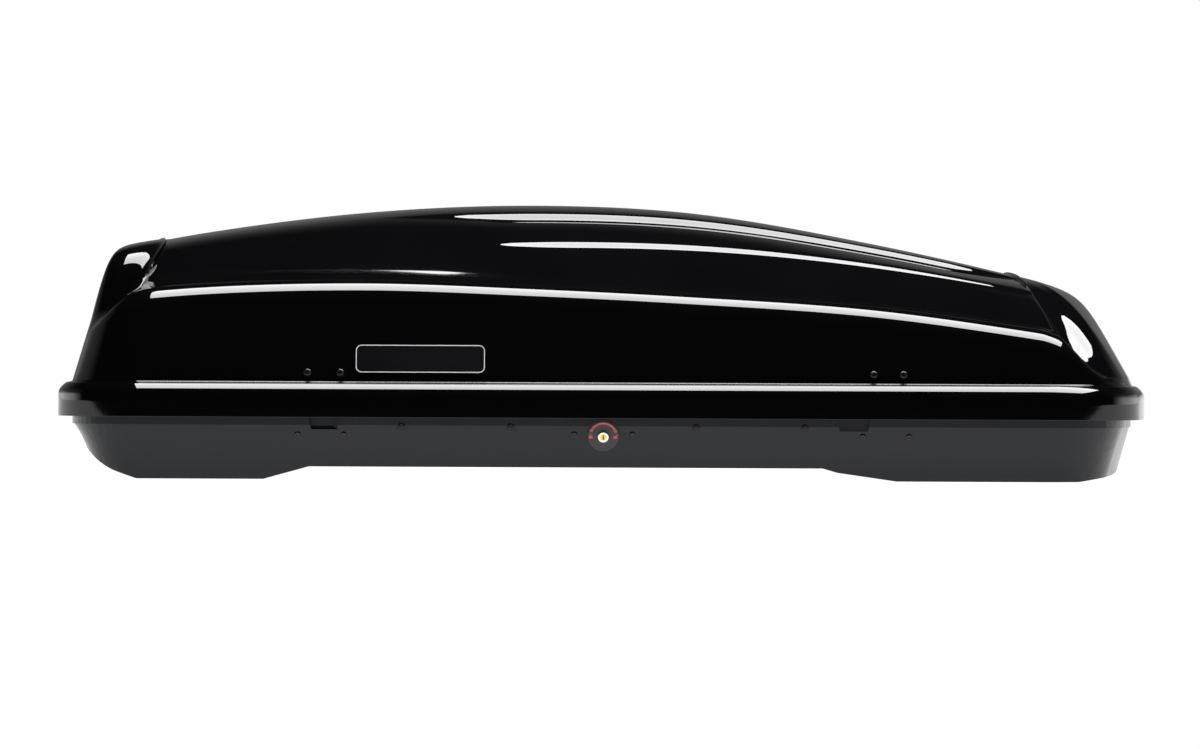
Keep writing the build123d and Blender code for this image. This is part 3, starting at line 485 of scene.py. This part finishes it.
MATERIALS = {
    # dark and light colour; then the roughness's range, the grain's scale and the bump's height in metres
    "lid_plastic": gloss_black,
    "base_plastic": speckled(
        (0.007, 0.008, 0.010), (0.012, 0.013, 0.016),
        (0.18, 0.26), 1500.0, 0.00004, specular=0.34,
    ),
    "inner_plastic": speckled(
        (0.016, 0.016, 0.017), (0.026, 0.026, 0.028),
        (0.35, 0.55), 1100.0, 0.00008,
    ),
    "seal_rubber": speckled(
        (0.010, 0.010, 0.010), (0.018, 0.018, 0.018),
        (0.60, 0.80), 900.0, 0.00010,
    ),
    "zinc_steel": speckled(
        (0.52, 0.53, 0.55), (0.68, 0.69, 0.70),
        (0.28, 0.46), 420.0, 0.00003, metallic=1.0,
    ),
    "black_steel": speckled(
        (0.020, 0.020, 0.021), (0.032, 0.032, 0.034),
        (0.30, 0.48), 700.0, 0.00005,
    ),
    "screw_black": speckled(
        (0.004, 0.004, 0.004), (0.010, 0.010, 0.011),
        (0.22, 0.36), 1600.0, 0.00002,
    ),
    "rod_chrome": speckled(
        (0.70, 0.71, 0.73), (0.80, 0.81, 0.82),
        (0.05, 0.12), 600.0, 0.0, metallic=1.0,
    ),
    "barrel_nickel": speckled(
        (0.78, 0.78, 0.77), (0.88, 0.88, 0.87),
        (0.14, 0.26), 800.0, 0.00002, metallic=1.0,
    ),
    "plug_brass": speckled(
        (0.72, 0.52, 0.06), (0.84, 0.66, 0.12),
        (0.18, 0.32), 900.0, 0.00002, metallic=1.0,
    ),
    "disc_grey": speckled(
        (0.030, 0.030, 0.033), (0.042, 0.042, 0.046),
        (0.36, 0.52), 1300.0, 0.00005,
    ),
    "badge_black": speckled(
        (0.004, 0.004, 0.005), (0.008, 0.008, 0.009),
        (0.16, 0.24), 900.0, 0.0,
    ),
    "print_red": speckled(
        (0.70, 0.060, 0.110), (0.80, 0.085, 0.145),
        (0.40, 0.55), 1800.0, 0.00001,
    ),
    "print_white": speckled(
        (0.66, 0.66, 0.66), (0.76, 0.76, 0.76),
        (0.35, 0.50), 1800.0, 0.00001,
    ),
}
made_materials = {name: material(name, build) for name, build in MATERIALS.items()}


def dress_nodes():
    """Give each CAD node the finish of its slot in the record."""
    for entry in frame["record"]["subparts"]:
        for slot in nodes[entry["node"]].material_slots:
            slot.material = made_materials[entry["material_slot"]]


# ---------------------------------------------------------------- base
# rise of the underside towards the rear end
HEEL_RISE = (
    (-0.784, 0.071),
    (-0.763, 0.053),
    (-0.749, 0.041),
    (-0.735, 0.031),
    (-0.721, 0.022),
    (-0.703, 0.014),
    (-0.686, 0.008),
    (-0.662, 0.0),
)
HEEL_TOP = 0.0765              # the wall above this height keeps its place
HEEL_CUTS = 36
SHARP = math.radians(11)


def make_base():
    """The base's own mesh with the rear end of its underside rounded up."""
    edit = bmesh.new()
    edit.from_mesh(nodes["base_shell"].data)
    bmesh.ops.remove_doubles(edit, verts=edit.verts, dist=MERGE)
    cuts = [((x, 0, 0), (1, 0, 0)) for x in np.linspace(HEEL_RISE[-1][0], HEEL_RISE[0][0], HEEL_CUTS)]
    for point, normal in cuts + [((0, 0, HEEL_TOP), (0, 0, 1))]:
        geometry = edit.verts[:] + edit.edges[:] + edit.faces[:]
        bmesh.ops.bisect_plane(edit, geom=geometry, plane_co=point, plane_no=normal, dist=MERGE)
    for vertex in edit.verts:
        if vertex.co.x < HEEL_RISE[-1][0] and vertex.co.z < HEEL_TOP:
            vertex.co.z += float(through(HEEL_RISE, vertex.co.x)) * (1 - vertex.co.z / HEEL_TOP)
    mesh = bpy.data.meshes.new("base_body")
    edit.to_mesh(mesh)
    edit.free()
    mesh.shade_smooth()
    mesh.set_sharp_from_angle(angle=SHARP)
    mesh.materials.append(made_materials["base_plastic"])
    base = new_object("base_body", mesh)
    shading = base.modifiers.new("shading", "WEIGHTED_NORMAL")
    shading.keep_sharp = True
    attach(base, "base")
    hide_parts("base_shell")


# ---------------------------------------------------------------- printed marks
PRINT = 0.00012                # thickness of the ink
PRINT_LIFT = 0.00001
MARK_RADIUS, MARK_WIDTH = 0.0187, 0.0022
MARK_FROM, MARK_TO = math.radians(153), math.radians(24)
ARC_POINTS, DOT_POINTS, CORNER_POINTS, SHACKLE_POINTS = 40, 25, 10, 14
DOT_R = 0.0022
SIGN_X, SIGN_SHIFT, SIGN_Y = 0.0172, 0.0004, -0.0010      # the padlocks' places from the arc's centre
LOCK_HALF, LOCK_LOW, LOCK_HIGH = 0.0027, -0.0022, 0.0012  # a padlock's block
SHACKLE_Y, SHACKLE_R, SHACKLE_WIDTH = 0.0016, 0.0017, 0.0009
OPEN_SHIFT, OPEN_LEAN = 0.0021, -0.4                      # the open padlock's shackle
BADGE_TILT = math.radians(PANEL_DRAFT)
FRAME_INSET, FRAME_WIDTH = 0.0008, 0.0012
PLATE_CORNER = 0.009


def plate(edit, outline, hole=None):
    """Thin plate over an outline in the local XY plane, or the band between an outline and a hole."""
    low = [edit.verts.new((x, y, 0)) for x, y in outline]
    high = [edit.verts.new((x, y, PRINT)) for x, y in outline]
    count = len(outline)
    pairs = [(i, (i + 1) % count) for i in range(count)]
    for i, j in pairs:
        edit.faces.new((low[i], low[j], high[j], high[i]))
    if hole is None:
        edit.faces.new(low[::-1])
        edit.faces.new(high)
        return
    inner_low = [edit.verts.new((x, y, 0)) for x, y in hole]
    inner_high = [edit.verts.new((x, y, PRINT)) for x, y in hole]
    for i, j in pairs:
        edit.faces.new((inner_low[j], inner_low[i], inner_high[i], inner_high[j]))
        edit.faces.new((high[i], high[j], inner_high[j], inner_high[i]))
        edit.faces.new((low[j], low[i], inner_low[i], inner_low[j]))


def turn_points(centre, radius, start, end, count):
    """Points along an arc."""
    x, y = centre
    return [(x + radius * math.cos(a), y + radius * math.sin(a)) for a in np.linspace(start, end, count)]


def band_outline(centre, radius, width, start, end, count):
    """Outline of an arc-shaped band."""
    outside = turn_points(centre, radius + width / 2, start, end, count)
    return outside + turn_points(centre, radius - width / 2, end, start, count)


def rounded(length, height, corner):
    """Outline of a rounded rectangle round the origin."""
    points = []
    for i, (sx, sy) in enumerate(((1, 1), (-1, 1), (-1, -1), (1, -1))):
        centre = (sx * (length / 2 - corner), sy * (height / 2 - corner))
        points += turn_points(centre, corner, i * math.pi / 2, (i + 1) * math.pi / 2, CORNER_POINTS)
    return points


def printed(name, body, finish, origin, normal, draw):
    """Thin print on a face: draw works in the plane through origin, whose X is the box's length."""
    edit = bmesh.new()
    draw(edit)
    bmesh.ops.recalc_face_normals(edit, faces=edit.faces)
    across = Vector((1, 0, 0))
    up = normal.cross(across)
    edit.transform(Matrix.Translation(origin) @ Matrix((across, up, normal)).transposed().to_4x4())
    mesh = bpy.data.meshes.new(name)
    edit.to_mesh(mesh)
    edit.free()
    mesh.materials.append(made_materials[finish])
    made = new_object(name, mesh)
    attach(made, body)


def lock_marks(edit):
    """Turning arc with a dot at each end, a shut padlock at its left and an open one at its right."""
    plate(edit, band_outline((0, 0), MARK_RADIUS, MARK_WIDTH, MARK_FROM, MARK_TO, ARC_POINTS))
    for angle in (MARK_FROM, MARK_TO):
        centre = (MARK_RADIUS * math.cos(angle), MARK_RADIUS * math.sin(angle))
        plate(edit, turn_points(centre, DOT_R, 0, 2 * math.pi, DOT_POINTS)[:-1])
    for side, shift, lean in ((-1, 0.0, 0.0), (1, OPEN_SHIFT, OPEN_LEAN)):
        x = side * SIGN_X - SIGN_SHIFT
        corners = (
            (-LOCK_HALF, LOCK_LOW), (LOCK_HALF, LOCK_LOW), (LOCK_HALF, LOCK_HIGH), (-LOCK_HALF, LOCK_HIGH),
        )
        plate(edit, [(x + a, SIGN_Y + b) for a, b in corners])
        centre = (x + shift, SIGN_Y + SHACKLE_Y)
        plate(edit, band_outline(centre, SHACKLE_R, SHACKLE_WIDTH, math.pi + lean, lean, SHACKLE_POINTS))


def badge_frame(edit):
    """Outline near the badge's edge."""
    low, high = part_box("badge")
    length = high.x - low.x - 2 * FRAME_INSET
    height = (high.z - low.z) / math.cos(BADGE_TILT) - 2 * FRAME_INSET
    corner = PLATE_CORNER - FRAME_INSET
    plate(
        edit,
        rounded(length, height, corner),
        rounded(length - 2 * FRAME_WIDTH, height - 2 * FRAME_WIDTH, corner - FRAME_WIDTH),
    )


def on_face(node, point, normal):
    """The point moved along the normal onto a node's outermost face."""
    height = max((vertex.co - point).dot(normal) for vertex in nodes[node].data.vertices)
    return point + normal * (height + PRINT_LIFT)


def make_prints():
    joints = frame["record"]["behaviour"]["joints"]
    turn = next(joint for joint in joints if joint["name"] == "key_turn")
    normal = Vector(turn["axis"]).normalized()
    place = on_face("lock_disc", Vector(turn["pos_m"]), normal)
    printed("lock_marks", "base", "print_red", place, normal, lock_marks)
    normal = Vector((0, -math.cos(BADGE_TILT), math.sin(BADGE_TILT)))
    low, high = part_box("badge")
    place = on_face("badge", (low + high) / 2, normal)
    printed("badge_frame", "lid", "print_white", place, normal, badge_frame)


# ---------------------------------------------------------------- studio
CAMERA_PLACE = (-0.005, -7.0, 0.150)
CAMERA_LENS, CAMERA_SENSOR = 140.6, 36.0
CAMERA_ROLL = -0.25                # degrees
CAMERA_FAR = 120.0
FLOOR_SIZE = 40.0                  # half the floor's side
FLOOR_NEAR = -6.0                  # its near edge lies below the picture, out of the skirt's reflection
FLOOR_SINK = 0.0002
FLOOR_DARK, FLOOR_LIGHT = (0.07, 0.07, 0.07), (0.09, 0.09, 0.09)
FLOOR_CLOUD = 0.8
SOFTBOX_PLACE, SOFTBOX_SIZE, SOFTBOX_POWER = (0.66, -0.27, 2.47), (3.4, 1.62), 250.0

# smooth steps over a direction's parts, each from its first value to its second, and their strengths
BEHIND = (-0.05, 0.35)
SIDEWAYS = (0.35, 0.75)
LEFT_LOW, RIGHT_LOW, SIDES_GLOW = (0.22, 0.04), (0.30, 0.06), 1.1
HORIZON, HORIZON_GLOW = (0.06, 0.015), 0.8
WALL, WALL_GLOW = (0.62, 0.20), 0.22
ALL_ROUND_GLOW = 0.004


def make_camera():
    camera = bpy.data.objects.new("camera", bpy.data.cameras.new("camera"))
    camera.data.lens = CAMERA_LENS
    camera.data.sensor_width = CAMERA_SENSOR
    camera.data.clip_end = CAMERA_FAR
    camera.location = CAMERA_PLACE
    camera.rotation_euler = (math.radians(90), math.radians(CAMERA_ROLL), 0)
    bpy.context.scene.collection.objects.link(camera)
    bpy.context.scene.camera = camera


def area_light(name, centre, size, power, aim):
    light = bpy.data.lights.new(name, "AREA")
    light.shape = "RECTANGLE"
    light.size, light.size_y = size
    light.energy = power
    made = bpy.data.objects.new(name, light)
    made.location = centre
    made.rotation_euler = (Vector(aim) - Vector(centre)).to_track_quat("-Z", "Y").to_euler()
    bpy.context.scene.collection.objects.link(made)
    made.visible_camera = False


def make_world():
    """White for the camera; for everything else, bright low walls behind and beside a dark front."""
    world = bpy.data.worlds.new("studio")
    bpy.context.scene.world = world
    world.use_nodes = True
    tree = world.node_tree
    tree.nodes.clear()

    node = node_maker(tree)

    def added(a, b):
        return node("ShaderNodeMath", {0: a, 1: b}, operation="ADD").outputs[0]

    def times(a, b):
        return node("ShaderNodeMath", {0: a, 1: b}, operation="MULTIPLY").outputs[0]

    def step(value, low, high):
        inputs = {"Value": value, "From Min": low, "From Max": high}
        return node("ShaderNodeMapRange", inputs, interpolation_type="SMOOTHSTEP").outputs["Result"]

    around_box = node("ShaderNodeTexCoord").outputs["Generated"]
    x, y, z = node("ShaderNodeSeparateXYZ", {0: around_box}).outputs
    left = times(step(times(x, -1.0), *SIDEWAYS), step(z, *LEFT_LOW))
    right = times(step(x, *SIDEWAYS), step(z, *RIGHT_LOW))
    sides = times(added(left, right), SIDES_GLOW)
    horizon = times(step(z, *HORIZON), HORIZON_GLOW)
    wall = times(step(z, *WALL), WALL_GLOW)
    glow = times(added(added(sides, horizon), wall), step(y, *BEHIND))
    background = node("ShaderNodeBackground", {"Strength": added(glow, ALL_ROUND_GLOW)})
    white = node("ShaderNodeBackground", {"Strength": 1.0, "Color": (1, 1, 1, 1)})
    is_camera = node("ShaderNodeLightPath").outputs["Is Camera Ray"]
    choose = node("ShaderNodeMixShader", {0: is_camera, 1: background.outputs[0], 2: white.outputs[0]})
    node("ShaderNodeOutputWorld", {"Surface": choose.outputs[0]})


def make_floor():
    mesh = bpy.data.meshes.new("floor")
    edit = bmesh.new()
    bmesh.ops.create_grid(edit, x_segments=4, y_segments=4, size=FLOOR_SIZE)
    edit.to_mesh(mesh)
    edit.free()
    floor = new_object("floor", mesh)
    floor.location = (0, FLOOR_SIZE + FLOOR_NEAR, -FLOOR_SINK)

    def build(shader, node, link):
        place = node("ShaderNodeTexCoord").outputs["Object"]
        cloud = node("ShaderNodeTexNoise", {"Vector": place, "Scale": FLOOR_CLOUD, "Detail": 3.0})
        link(ramp_between(node, cloud.outputs["Fac"], FLOOR_DARK, FLOOR_LIGHT), shader.inputs["Base Color"])
        shader.inputs["Roughness"].default_value = 0.9
        shader.inputs["Specular IOR Level"].default_value = 0.0
        shader.inputs["Emission Color"].default_value = (1, 1, 1, 1)
        shader.inputs["Emission Strength"].default_value = 1.0

    mesh.materials.append(material("floor_white", build))


def make_studio():
    bpy.context.scene.view_settings.view_transform = "Standard"
    make_world()
    make_floor()
    # the overhead softbox's sharp edges draw the lines along the shoulder and the rim
    below = (*SOFTBOX_PLACE[:2], 0.0)
    area_light("softbox_top", SOFTBOX_PLACE, SOFTBOX_SIZE, SOFTBOX_POWER, below)
    make_camera()


make_studio()
dress_nodes()
make_ribs(make_lid().data)
make_prints()
make_base()
